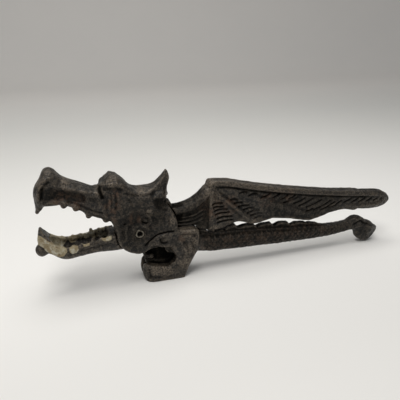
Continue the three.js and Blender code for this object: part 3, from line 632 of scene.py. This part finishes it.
def lower_jaw(s):
    where, x, y, z = s.spot([-170, -94], [30, 62])
    rim, floor, wide = (profile(p, x) for p in (JAW_RIM, JAW_BOTTOM, JAW_HALF))
    depth = rim - floor
    hull = (np.abs(y / wide) ** 3.0 + np.abs(np.minimum(z - rim, 0) / depth) ** 3.0) ** (1 / 3) - 1
    hull = meet(hull * np.minimum(wide, depth), z - rim, 0.9)
    hull = meet(hull, -165.9 - x, 1.6)
    s.add(where, hull, 0)
    s.ball((-163.8, 0, 40), (4.7, 5.0, 5.1), 1.6)
    # The trough for the nut, open on top, with grip ridges across its floor.
    share = ramp(x, -160.5, -153) * (1 - ramp(x, -114, -108))
    wall, base, power = 2.3, 3, 2.6
    inner_wide, inner_deep = np.maximum(wide - wall, 0.1), np.maximum(depth - base, 0.1)
    trough = np.abs(y / inner_wide) ** power + np.abs(np.minimum(z - rim, 0) / inner_deep) ** power
    trough = (trough ** (1 / power) - 1) * 4 + (1 - share) * 6
    s.carve(where, trough, 0.6)
    for x0 in (-150, -144, -138, -132, -126, -120):
        s.rod([(x0, 0, 36.6), (x0, 0, 36.3)], [1.0, 1.0], 5.5, width=1.2)
    # Molars along both rims.
    for x0, rise in ((-147.5, 1.2), (-139, 1.0), (-133, 0.8), (-124, 2.8), (-117.6, 0.8), (-111.6, 0.6)):
        top = float(profile(JAW_RIM, np.array(x0)))
        s.rod([(x0, 9.7, top - 2), (x0 - 0.3, 9.6, top + rise - 1.2)], [2.3, 1.4], 0.85, width=1.2)


def hub(s):
    s.slab([(-109, 35.4), (-97, 38)] + arc(HUB_RADIUS, 226, 318, 9)
           + [(-70, 46)] + arc(SWING_RADIUS + 1, 2, 30, 6)
           + [(-57.8, 66.6), (-58.8, 69.4), (-61.6, 70.8), (-64.2, 68.6), (-73, 60.5)]
           + arc(HUB_RADIUS, 62, 135, 9) + [(-109, 48.4)], HUB, edge=0.9, width=1.0, smooth=False)


def wings(s):
    # Arm: a thick rail that curves up to the wrist, with a thin dark web below it.
    s.rod(ARM_RAIL, [4.6, 4.9, 4.8, 4.8, 4.8, 4.8, 4.8], 1.5, width=2)
    s.slab([(-66, 48.4), (-52, 47.2), (-44, 46.2), (-38.6, 45.2), (-35.6, 42.6), (-33, 41), (-29.5, 39.8),
            (-26.4, 38.6), (-22.6, 37.4), (-19, 38.8), (-19, 80), (-27, 78), (-33, 70), (-41, 64),
            (-52, 61), (-66, 61)], 4.0, edge=1.2)
    # Wings folded flat against each other, thick along the leading edge.
    rail = [(x, float(profile(WING_TOP, np.array(x)))) for x in (-25, -22, -8, 6, 24, 48, 80, 104, 130)]
    s.slab(WING_HEM + [(x, z - 1.5) for x, z in rail[::-1]] + [(-24.6, 60), (-23.8, 40)], 4.8, edge=1.0)
    s.slab([(x, z - 5.4) for x, z in rail] + rail[::-1], 6.2, edge=1.8, width=1.0)
    s.rod([(-22.6, 0, 79), (-23.4, 0, 60), (-21.8, 0, 44), (-20.8, 0, 40.4)], [3.4, 2.7, 2.3, 1.6], 2.05,
          width=1.4)
    s.rod([(-16, 0, 69), (-5.7, 0, 61.6), (4.2, 0, 52.2), (12, 0, 44.6), (19, 0, 41)],
          [2.4, 2.6, 2.4, 2.1, 1.4], 2.35, width=1.6)
    s.rod([(8, 0, 67), (22.2, 0, 60.9), (43, 0, 52), (62, 0, 44.6), (79, 0, 37.2)], [1.6, 2.0, 2.1, 1.9, 1.2],
          2.6, width=1.8)
    s.loft(98, 167.4, WING_TOP, GRIP_BOTTOM, GRIP_HALF, power=4.0, cap=1.6, width=0.8)


def lever_reliefs(s):
    # Jaw: pitted outside wall, a ledge under the rim.
    s.line([(-160, 50.5), (-156, 48.6), (-151, 45.2), (-145, 42.6)], 0.4, 0.8)
    s.line([(-158, 39.6), (-151, 37.6), (-140, 36.4), (-126, 37.2), (-110, 38)], 0.4, 1.2)
    s.line([(-146, 40.6), (-136, 40), (-122, 41.6), (-110, 43.4)], -0.45, 1.1)
    for x0, z0 in ((-149, 41), (-142, 38.2), (-133, 41.4), (-127.5, 38.8), (-119, 42)):
        s.area(arc(1.7, 0, 330, 8, (x0, z0)), -0.55, 1.4)
    # Arm: the dark line under the rail and three folds in the web, a groove and a raised line each.
    s.line([(-56, 55), (-48, 55), (-41, 56.6), (-34, 61.6), (-28.6, 68.6)], -0.8, 1.0)
    for drop in (-2.4, 1, 4.4):
        s.line([(-55, 53.6 - drop), (-46, 53.2 - drop), (-38, 54.4 - drop), (-30, 59 - drop * 1.3)], -0.5,
               0.9)
        s.line([(-54, 51.9 - drop), (-45, 51.6 - drop), (-37, 52.6 - drop), (-30, 56.6 - drop * 1.3)], 0.75,
               0.8)
    # Leading edge: the groove below the band, and a raised line over it.
    band = [(x, float(profile(WING_TOP, np.array(x))) - 5.6) for x in (-20, -8, 6, 24, 48, 80, 104, 128, 150)]
    s.line(band, -0.9, 1.0)
    s.line([(x, z + 2.2) for x, z in band], 0.35, 1.0)
    # First panel: six arched grooves. Second: short grooves that cross rib 2 towards the rear.
    for points in ([(-22.7, 61.9), (-19, 63.2), (-12, 62.6)], [(-21.6, 58.8), (-18.4, 59.9), (-10.9, 59.4)],
                   [(-20.6, 55.8), (-15.1, 57.2), (-7.4, 56.4)], [(-19.9, 52.1), (-14.1, 53.6), (-5, 53.2)],
                   [(-18.4, 47.9), (-12.1, 49.5), (-2.2, 49)], [(-18, 44.2), (-12, 45.6), (-2, 45.8)]):
        s.line(points, -1.15, 0.95)
        s.line([(x, z - 1.8) for x, z in points], 0.45, 0.8)
    for x0, z0, x1, z1 in ((-5.8, 64.6, 2, 64), (-2.8, 60.6, 6.8, 60.8), (1.6, 57, 13.3, 57.4),
                           (6.2, 53.6, 19, 54.2), (10.4, 50.2, 24, 51.4), (13.6, 46.8, 27, 48),
                           (17.4, 43.6, 28, 44.6), (2.1, 69.8, 11, 70), (11, 66.4, 20, 67.4)):
        s.line([(x0, z0), ((x0 + x1) / 2, (z0 + z1) / 2 + 0.9), (x1, z1)], -1.0, 0.9)
    # Ribs 2 and 3: a raised line along each, and a groove above it.
    for rib in ([(-19, 72.4), (-10, 65), (-1, 57), (7, 49.4), (16, 42.8)],
                [(14, 66.6), (26, 61.2), (43, 54), (60, 47), (76, 39.6)]):
        s.line(rib, 0.5, 1.5)
        s.line([(x + 1.2, z + 2.6) for x, z in rib], -0.45, 1.0)
    # Third panel, under rib 3, is smooth and slightly hollow; above it lie rows of feather strokes.
    s.area([(14, 60), (30, 54), (46, 47.4), (60, 42), (40, 43), (24, 43), (18, 50)], -0.7, 4.0)
    for x0, z0, x1, z1 in ((22.6, 63, 33.2, 66.4), (34.6, 61.8, 43, 65.4), (43, 59, 51.5, 63),
                           (51, 58.6, 58.6, 61.8), (46, 55.4, 62, 60), (56, 53, 70, 58),
                           (62, 50.2, 78.6, 56.6), (70, 47.6, 88, 54), (77.6, 43.4, 98, 52),
                           (86, 43, 103, 50.4), (70.6, 43.6, 79, 46.4), (95, 44, 110, 51)):
        s.line([(x0, z0), ((x0 + x1) / 2, (z0 + z1) / 2 - 0.8), (x1, z1)], -1.15, 0.85)
        s.line([(x0 + 0.8, z0 - 1.8), ((x0 + x1) / 2 + 0.8, (z0 + z1) / 2 - 2.6), (x1 + 0.8, z1 - 1.8)],
               0.4, 0.8)
    # Grip: a sunken field in a U-shaped border, with short strokes across it.
    s.area([(108, 50), (118, 52.8), (140, 50.8), (151, 49.4), (156, 47.4), (153, 43.8), (140, 43.4),
            (114, 45.6)], -0.75, 2.0)
    s.line([(112, 43.6), (138, 41.6), (152, 41.6), (158.4, 46.6), (152, 50.8), (140, 52.6)], 0.5, 1.1)
    for x0, z0, x1, z1 in ((111, 47.4, 121, 51.4), (119.5, 46.4, 129, 50.6), (128, 46, 136.5, 49.8),
                           (136.5, 45.6, 144, 48.8), (145, 45.4, 150.5, 47.8)):
        s.line([(x0, z0), (x1, z1)], -0.9, 0.95)


def lever_casting():
    s = Solid((-171, -14.4, 28), (171, 14.4, 88))
    lower_jaw(s)
    wings(s)
    clear_swing(s, 0.5)
    hub(s)
    s.even_out()
    lever_reliefs(s)
    s.press()
    seam = ramp(s.x, -21, -16)[:, None, None]
    crease = np.exp(-(s.y / 0.75) ** 2)[None, :, None] * seam
    s.f += 0.55 * crease.astype(np.float32)
    s.f += 0.15 * s.noise(3.2, 21) + 0.09 * s.noise(1.5, 22) + 0.14 * s.noise(9, 23)
    # Between the cheeks only the hub remains, and the rivet passes through it.
    clear_swing(s, 0.4, HUB)
    s.slab(arc(RIVET_HOLE, 0, 345, 24), THROUGH, edge=0.2, width=0.2, smooth=False, carve=True)
    return s


def clear_swing(s, gap, from_y=-math.inf):
    """Cuts the lever back from the cheeks: all of it, or only what is beyond |y| = from_y."""
    where, x, y, z = s.spot([-108, -52], [28, 84], margin=0)
    reach = np.hypot(x - PIVOT_X, z - PIVOT_Z)
    # The jaw's circle counts in front of the pivot, the arm's behind it.
    swing = np.where(x < -93, reach - JAW_SWING, reach - SWING_RADIUS - gap)
    s.carve(where, np.maximum(swing, from_y - np.abs(y)), 0)


# ---- colour regions ----
def blotch(p, spots):
    """The strongest of some soft round spots (x, z, radius) seen from the side."""
    share = np.zeros(len(p))
    for x0, z0, radius in spots:
        gap = np.hypot(p[:, 0] - x0, p[:, 2] - z0) / radius
        share = np.maximum(share, 1 - ramp(gap, 0.3, 1.2))
    return share


def field(p, outline, soft=1.5):
    """1 inside an outline seen from the side, 0 outside it."""
    return 1 - ramp(polygon(np.array(outline, float), p[:, 0], p[:, 2]), -soft, soft)


def body_tints(p):
    side = ramp(np.abs(p[:, 1]), 2, 6)
    rust = blotch(p, [(-107, 76, 8), (-108, 69, 5), (-144, 84, 9), (-132, 80, 7), (-104, 84, 5),
                      (-108, 62, 4), (-50, 40, 6), (-90, 62, 7)])
    tail_rust = blotch(p, [(x, 26, 11) for x in range(-26, 110, 17)])
    worn = blotch(p, [(-106, 93, 5), (-84, 82, 4), (-140, 97, 4), (-75, 12, 7), (-66, 9, 7), (-46, 27, 7),
                      (-50, 15, 7), (-40, 35, 5), (-46, 44, 9), (-79, 66, 4), (-60, 56, 4), (-116, 86, 4),
                      (-158, 98, 5)])
    opening = [(-90, 32), (-80, 32.6), (-71, 31), (-62, 27.6), (-58.6, 22.8), (-60, 16.4), (-67, 15.8),
               (-76, 18), (-82, 18.4), (-90, 20)]
    nape = [(-75, 76), (-70.7, 77.6), (-64, 75.6), (-60, 70), (-64, 65), (-69.6, 66.4), (-74, 68.5)]
    hollow_shade = [(-156.6, 92.4), (-150, 94), (-140, 91.2), (-128, 87), (-116, 83), (-116, 79), (-128, 81.6),
              (-142, 83.6), (-157, 83)]
    over_tail = p[:, 2] - profile(TAIL_TOP, p[:, 0])
    crest = (np.abs(p[:, 1]) < 4.4) * ramp(over_tail, -0.8, 0.6) * (p[:, 0] > -39)
    # A painted shadow on the tail's sides just below the crest.
    under_crest_shadow = ramp(over_tail, -5.5, -1.5) * ramp(p[:, 0], -36, -30) * (1 - ramp(p[:, 0], 84, 96))
    slot = (np.abs(p[:, 1]) < 5.6) * (np.hypot(p[:, 0] - PIVOT_X, p[:, 2] - PIVOT_Z) < 30)
    # Painted shade: the opening between the legs, the nape notch, the crest spikes, the slot between the
    # cheeks, two small spots by the shoulder and the pivot, the muzzle hollow, the cheeks, and the sides of
    # the tail, which are painted darker than the top.
    painted_shade = np.maximum.reduce([
        field(p, opening) * (1 - ramp(np.abs(p[:, 1]), 9.6, 11.6)),
        0.7 * field(p, nape),
        0.75 * crest * (1 - ramp(p[:, 0], 92, 100)),
        0.8 * slot,
        0.5 * blotch(p, [(-68.5, 41, 3.6), (-95.5, 44, 4.5)]),
        0.55 * field(p, hollow_shade, 3) * side,
        0.5 * blotch(p, [(-90, 54, 26), (-72, 60, 12)]) * side,
        0.5 * ramp(p[:, 0], -36, -28) * (1 - 0.3 * ramp(p[:, 0], 118, 130)) * side,
        0.8 * under_crest_shadow * side])
    return np.stack([np.zeros(len(p)), np.maximum(rust * side, 0.55 * tail_rust), worn, painted_shade], 1)


def lever_tints(p):
    side = np.abs(p[:, 1])
    panel = [(-168, 53), (-164.6, 54.2), (-162.6, 53.6), (-158, 50.6), (-152, 48), (-147.6, 46.6),
             (-144.6, 43.6), (-144.6, 40.6), (-147.2, 37.6), (-150.6, 36.4), (-154.2, 37.8), (-159.8, 39.8),
             (-162, 43.6), (-168, 46.6)]
    flakes = (
        [(-142.9, 44), (-140, 45.4), (-136.2, 44.6), (-135.8, 41.4), (-137.6, 39), (-141, 38.2), (-143, 40)],
        [(-132.4, 45.4), (-126.6, 46.6), (-127.6, 44), (-131.6, 43.2)],
        [(-117.6, 48.2), (-109.4, 49), (-110, 46), (-114, 45.4), (-117, 46.4)])
    flaked = np.maximum.reduce([field(p, flake, 0.5) for flake in flakes]) * ramp(side, 7, 9)
    inner = ramp(p[:, 0], -158, -152) * (1 - ramp(p[:, 0], -116, -106)) * ramp(p[:, 2], 38, 42) * (side < 9.7)
    streaks = np.maximum.reduce([1 - ramp(np.abs(p[:, 0] - x + 0.12 * p[:, 2]), 0.4, 1.6)
                                 for x in (-148.6, -140.6, -135, -131.6, -124, -117.5)])
    cream = np.maximum.reduce([field(p, panel, 0.5), flaked, inner * (0.56 + 0.36 * streaks)])
    under_top = profile(WING_TOP, p[:, 0]) - p[:, 2]
    band = (1 - ramp(under_top, 3, 6)) * ramp(p[:, 0], -26, -20) * (1 - ramp(p[:, 0], 30, 90))
    worn = np.maximum(blotch(p, [(-20.8, 39.6, 4), (-23, 70, 9), (18, 41, 4), (-22, 80, 6)]), 0.4 * band)
    rust = 0.8 * blotch(p, [(-22, 60, 14), (-6, 60, 10), (30, 62, 10), (50, 62, 9)])
    # Painted shade: the web under the arm's rail, the hub between the cheeks, the lower wing panels, the arm,
    # and spots along the jaw's rim.
    painted_shade = np.maximum.reduce([
        0.6 * ramp(under_top, 7, 10) * (p[:, 0] < -25) * (p[:, 0] > -68),
        0.9 * (side < 5.2) * ramp(p[:, 0], -72, -66) * (1 - ramp(p[:, 0], -50, -44)),
        0.45 * ramp(p[:, 0], 14, 40) * ramp(under_top, 5, 8) * (1 - ramp(p[:, 0], 104, 116)),
        0.5 * (1 - ramp(p[:, 0], -34, -26)) * (p[:, 0] > -66),
        0.6 * blotch(p, [(-122, 46, 3), (-104, 44, 5), (-145, 47.5, 2), (-134.5, 46.8, 2)])])
    return np.stack([cream, rust, worn, painted_shade], 1)


# ---- materials ----
class Nodes:
    """A material's node tree, with short calls for the nodes used here."""

    def __init__(self, name, **shader):
        self.material = bpy.data.materials.new(name)
        self.material.use_nodes = True
        self.tree = self.material.node_tree
        self.tree.nodes.clear()
        self.shader = self.make("ShaderNodeBsdfPrincipled", **shader)
        out = self.make("ShaderNodeOutputMaterial")
        self.tree.links.new(self.shader.outputs[0], out.inputs["Surface"])
        self.place = self.make("ShaderNodeTexCoord").outputs["Object"]

    def make(self, kind, **values):
        node = self.tree.nodes.new(kind)
        for key, value in values.items():
            self.put(node.inputs[key.replace("_", " ")], value)
        return node

    def put(self, socket, value):
        if isinstance(value, bpy.types.NodeSocket):
            self.tree.links.new(value, socket)
        else:
            socket.default_value = value

    def noise(self, scale, detail=4.0):
        node = self.make("ShaderNodeTexNoise", Vector=self.place, Scale=scale, Detail=detail, Roughness=0.6)
        return node.outputs["Fac"]

    def attribute(self, name):
        node = self.make("ShaderNodeAttribute")
        node.attribute_name = name
        parts = self.make("ShaderNodeSeparateColor", Color=node.outputs["Color"])
        return [*parts.outputs, node.outputs["Alpha"]]

    def math(self, operation, a, b=0.0, clamp=False):
        node = self.tree.nodes.new("ShaderNodeMath")
        node.operation, node.use_clamp = operation, clamp
        self.put(node.inputs[0], a)
        self.put(node.inputs[1], b)
        return node.outputs[0]

    def spread(self, value, low, high, to_low=0.0, to_high=1.0):
        node = self.tree.nodes.new("ShaderNodeMapRange")
        node.interpolation_type = "SMOOTHSTEP"
        for socket, v in zip(node.inputs, (value, low, high, to_low, to_high)):
            self.put(socket, v)
        return node.outputs[0]

    def mix(self, share, a, b):
        node = self.tree.nodes.new("ShaderNodeMix")
        node.data_type = "RGBA"
        self.put(node.inputs[0], share)
        for socket, colour in ((node.inputs[6], a), (node.inputs[7], b)):
            self.put(socket, colour if isinstance(colour, bpy.types.NodeSocket) else (*colour, 1))
        return node.outputs[2]

    def bump(self, height, distance, strength=1.0, under=None):
        node = self.make("ShaderNodeBump", Height=height, Distance=distance, Strength=strength)
        if under is not None:
            self.put(node.inputs["Normal"], under)
        return node.outputs[0]


def cast_iron(name):
    """Old cast iron: black-brown skin, painted shade in the hollows and wherever the tint marks shade, tan
    rubbed edges, rust and paint rests.
    """
    m = Nodes(name, Metallic=0.35, IOR=1.5)
    form, tint = m.attribute("form"), m.attribute("tint")
    cloud, patch, grain, speck = m.noise(70), m.noise(260, 5), m.noise(800, 3), m.noise(2200, 2)
    base = m.mix(m.spread(cloud, 0.40, 0.60), (0.0060, 0.0052, 0.0042), (0.019, 0.0155, 0.0115))
    base = m.mix(m.math("MULTIPLY", m.spread(patch, 0.49, 0.58), 0.85), base, (0.060, 0.047, 0.033))
    base = m.mix(m.math("MULTIPLY", m.spread(grain, 0.55, 0.66), 0.50), base, (0.122, 0.104, 0.079))
    base = m.mix(m.math("MULTIPLY", m.spread(grain, 0.48, 0.38), 0.85), base, (0.005, 0.0045, 0.004))
    rust = m.math("MULTIPLY", tint[1], m.spread(patch, 0.40, 0.62))
    base = m.mix(m.math("MULTIPLY", rust, 0.75), base, (0.085, 0.042, 0.022))
    rubbed = m.math("MULTIPLY", m.math("ADD", m.math("MULTIPLY", form[0], 0.9), tint[2], clamp=True),
                    m.spread(grain, 0.35, 0.6))
    base = m.mix(m.math("MULTIPLY", rubbed, 0.65), base, (0.190, 0.152, 0.112))
    # Painted shade: the hollows, and the places that the tint's fourth share marks, are painted near black,
    # less where the paint is.
    hollow_shade = m.math("MULTIPLY", m.math("MAXIMUM", form[1], form[2]), m.spread(tint[0], 0.1, 0.6, 1.0, 0.35))
    marked_shade = m.math("MULTIPLY", tint[3], m.spread(form[0], 0.05, 0.7, 1.0, 0.4))
    painted_shade = m.math("MAXIMUM", hollow_shade, marked_shade)
    base = m.mix(m.math("MULTIPLY", painted_shade, 0.97), base, (0.003, 0.003, 0.0025))
    # Paint rests, broken up where they have flaked.
    chips = m.math("MULTIPLY", m.math("SUBTRACT", patch, 0.5), 2.0)
    paint = m.spread(m.math("ADD", tint[0], chips), 0.35, 0.5)
    paint = m.math("MULTIPLY", paint, m.spread(tint[0], 0.05, 0.3))
    ochre = m.mix(m.spread(cloud, 0.42, 0.6), (0.47, 0.42, 0.30), (0.33, 0.27, 0.17))
    ochre = m.mix(m.spread(patch, 0.5, 0.62, 0, 0.8), ochre, (0.56, 0.535, 0.44))
    ochre = m.mix(m.spread(grain, 0.56, 0.66, 0, 0.7), ochre, (0.080, 0.045, 0.020))
    base = m.mix(m.math("MULTIPLY", paint, m.spread(tint[0], 0.2, 0.9, 0.25, 0.95)), base, ochre)
    m.put(m.shader.inputs["Base Color"], base)
    rough = m.spread(patch, 0.40, 0.60, 0.54, 0.32)
    dull = m.math("MAXIMUM", painted_shade, paint)
    m.put(m.shader.inputs["Roughness"], m.math("ADD", rough, m.math("MULTIPLY", dull, 0.25), clamp=True))
    m.put(m.shader.inputs["Specular IOR Level"], m.spread(dull, 0.0, 1.0, 0.5, 0.02))
    normal = m.bump(patch, 0.0022, 0.65)
    normal = m.bump(grain, 0.0007, 0.6, normal)
    m.put(m.shader.inputs["Normal"], m.bump(speck, 0.0002, 0.5, normal))
    return m.material


def rivet_metal(name):
    """Rubbed steel with painted shade in its dished centre."""
    m = Nodes(name, Metallic=0.85)
    form = m.attribute("form")
    cloud, grain = m.noise(500), m.noise(2600, 3)
    base = m.mix(m.spread(cloud, 0.35, 0.65), (0.10, 0.088, 0.068), (0.22, 0.20, 0.165))
    # Painted shade in the dished centre.
    base = m.mix(form[1], base, (0.006, 0.005, 0.004))
    m.put(m.shader.inputs["Base Color"], base)
    m.put(m.shader.inputs["Roughness"], m.spread(grain, 0.3, 0.7, 0.30, 0.5))
    m.put(m.shader.inputs["Normal"], m.bump(grain, 0.00015, 0.6, m.bump(cloud, 0.0004, 0.5)))
    return m.material


# ---- rivet ----
def make_rivet(name):
    """A turned rivet whose ends are rolled over into a ring round a deep centre."""
    half = CHEEK
    side = [(0, half - 3.2), (0.9, half - 3.1), (1.7, half - 2.4), (2.1, half - 1.0), (2.25, half - 0.1),
            (2.6, half + 0.3), (3.1, half + 0.35), (3.55, half), (3.7, half - 0.5), (3.4, half - 1.0),
            (3.0, half - 1.3)]
    rows = side + [(r, -y) for r, y in side[::-1]]
    turns = 48
    angles = np.arange(turns) * 2 * math.pi / turns
    rng = np.random.default_rng(5)
    dents = 0.07 * np.convolve(np.tile(rng.uniform(-1, 1, turns), 3), np.ones(4) / 4, "same")[turns:2 * turns]
    points, dish_shade = [], []
    for r, y in rows:
        ring = r * (1 + dents * (r > 2)) if r else np.zeros(1)
        for radius, angle in zip(ring, angles if r else [0.0]):
            points.append(((PIVOT_X + radius * math.cos(angle)) * MM, y * MM,
                           (PIVOT_Z + radius * math.sin(angle)) * MM))
            # 1 marks the dished centre, painted dark as shade.
            dish_shade.append(1.0 if r < 2.1 else 0.5 if r < 2.3 else 0.0)
    rings = len(rows) - 2
    first, last, last_ring = 0, len(points) - 1, 1 + (rings - 1) * turns
    faces = []
    for n in range(turns):
        m = (n + 1) % turns
        faces.append((first, 1 + n, 1 + m))
        for row in range(rings - 1):
            a, b = 1 + row * turns, 1 + (row + 1) * turns
            faces.append((a + n, b + n, b + m, a + m))
        faces.append((last_ring + m, last_ring + n, last))
    mesh = bpy.data.meshes.new(name)
    mesh.from_pydata(points, [], faces)
    mesh.polygons.foreach_set("use_smooth", np.ones(len(faces), bool))
    layer = mesh.color_attributes.new("form", "FLOAT_COLOR", "POINT")
    layer.data.foreach_set("color", np.array([(0, d, 0, 1) for d in dish_shade], np.float32).ravel())
    return add_object(name, mesh)


# ---- the three pieces ----
BODY_NODES = ["upper_jaw", "brow", "skull", "horn", "left_cheek", "right_cheek", "left_shoulder",
              "right_shoulder", "left_foreleg", "right_foreleg", "left_paw", "right_paw", "chest", "torso",
              "tail_root", "tail_end", "tail_spade"]
LEVER_NODES = ["lower_jaw", "lever_hub", "wing_arm", "wing_band", "left_wing", "right_wing", "grip"]

iron = cast_iron("cast_iron")
for name, solid, tints, body, slot, nodes in (
        ("body_casting", body_casting(), body_tints, "body", "iron", BODY_NODES),
        ("lever_casting", lever_casting(), lever_tints, "lever", "worn_iron", LEVER_NODES)):
    casting = make_piece(name, solid, tints)
    casting.data.materials.append(iron)
    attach(casting, body)
    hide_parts(*nodes)
    print(name, "faces", len(casting.data.polygons))

rivet = make_rivet("rivet")
rivet.data.materials.append(rivet_metal("rivet_steel"))
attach(rivet, "body")
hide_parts("pivot_rivet")


# ---- floor, light and camera ----
LAMP_TARGET = (0, 0, 0.04)


def make_floor():
    """A pale sweep: a flat floor that curves up into a wall far behind the object."""
    width, near, far, bend, height = 4.0, -2.5, 1.3, 0.5, 2.2
    rows = [(near, 0.0), (far, 0.0)]
    for a in np.radians(np.arange(7.5, 90.1, 7.5)):
        rows.append((far + bend * math.sin(a), bend * (1 - math.cos(a))))
    rows.append((far + bend, height))
    points = [(x, y, z) for y, z in rows for x in (-width, width)]
    faces = [(2 * i, 2 * i + 1, 2 * i + 3, 2 * i + 2) for i in range(len(rows) - 1)]
    mesh = bpy.data.meshes.new("floor")
    mesh.from_pydata(points, [], faces)
    mesh.polygons.foreach_set("use_smooth", np.ones(len(faces), bool))
    floor = add_object("floor", mesh)
    paper = Nodes("paper", Roughness=0.7)
    axes = paper.make("ShaderNodeSeparateXYZ", Vector=paper.place).outputs
    # Painted light falloff: the floor is painted darker towards the camera as a soft shadow, darker again
    # farther back, and the wall is painted lighter.
    falloff_tone = paper.mix(paper.spread(axes["Y"], -0.14, 0.06), (0.77, 0.76, 0.735), (0.89, 0.88, 0.855))
    falloff_tone = paper.mix(paper.spread(axes["Y"], 0.08, 0.5), falloff_tone, (0.83, 0.825, 0.79))
    falloff_tone = paper.mix(paper.spread(axes["Y"], 0.6, 1.15), falloff_tone, (1.0, 0.97, 0.925))
    falloff_tone = paper.mix(paper.spread(paper.noise(6, 3), 0.4, 0.6, 0, 0.03), falloff_tone, (0.7, 0.7, 0.7))
    paper.put(paper.shader.inputs["Base Color"], falloff_tone)
    mesh.materials.append(paper.material)
    return floor


def lamp(name, place, size, power, colour):
    """A round lamp that shines on the middle of the object and isn't seen by the camera itself."""
    light = bpy.data.lights.new(name, "AREA")
    light.shape, light.size, light.energy, light.color = "DISK", size, power, colour
    obj = add_object(name, light)
    obj.location = place
    obj.rotation_euler = (Vector(LAMP_TARGET) - Vector(place)).to_track_quat("-Z", "Y").to_euler()
    obj.visible_camera = False


make_floor()
lamp("overhead", (-0.08, 0.06, 1.0), 0.7, 5.2, (1.0, 0.985, 0.955))
lamp("front_key", (-0.30, -0.42, 1.0), 0.45, 4.4, (1.0, 0.985, 0.96))

world = bpy.data.worlds.new("studio")
world.use_nodes = True
background = world.node_tree.nodes["Background"].inputs
background["Color"].default_value = (0.93, 0.94, 0.96, 1)
background["Strength"].default_value = 0.27
bpy.context.scene.world = world
bpy.context.scene.view_settings.view_transform = "Standard"

AZIMUTH, ELEVATION, FIELD, DISTANCE = -18.0, 22.0, 50.0, 368.2
TARGET = (-31.8, 0.0, 66.3)
a, e = math.radians(AZIMUTH), math.radians(ELEVATION)
back = Vector((math.sin(a) * math.cos(e), -math.cos(a) * math.cos(e), math.sin(e)))
camera = bpy.data.objects.new("camera", bpy.data.cameras.new("camera"))
camera.data.sensor_width = 36.0
camera.data.lens = 18.0 / math.tan(math.radians(FIELD / 2))
camera.location = (Vector(TARGET) + back * DISTANCE) * MM
camera.rotation_euler = (-back).to_track_quat("-Z", "Y").to_euler()
camera.data.clip_start = 0.01
bpy.context.scene.collection.objects.link(camera)
bpy.context.scene.camera = camera
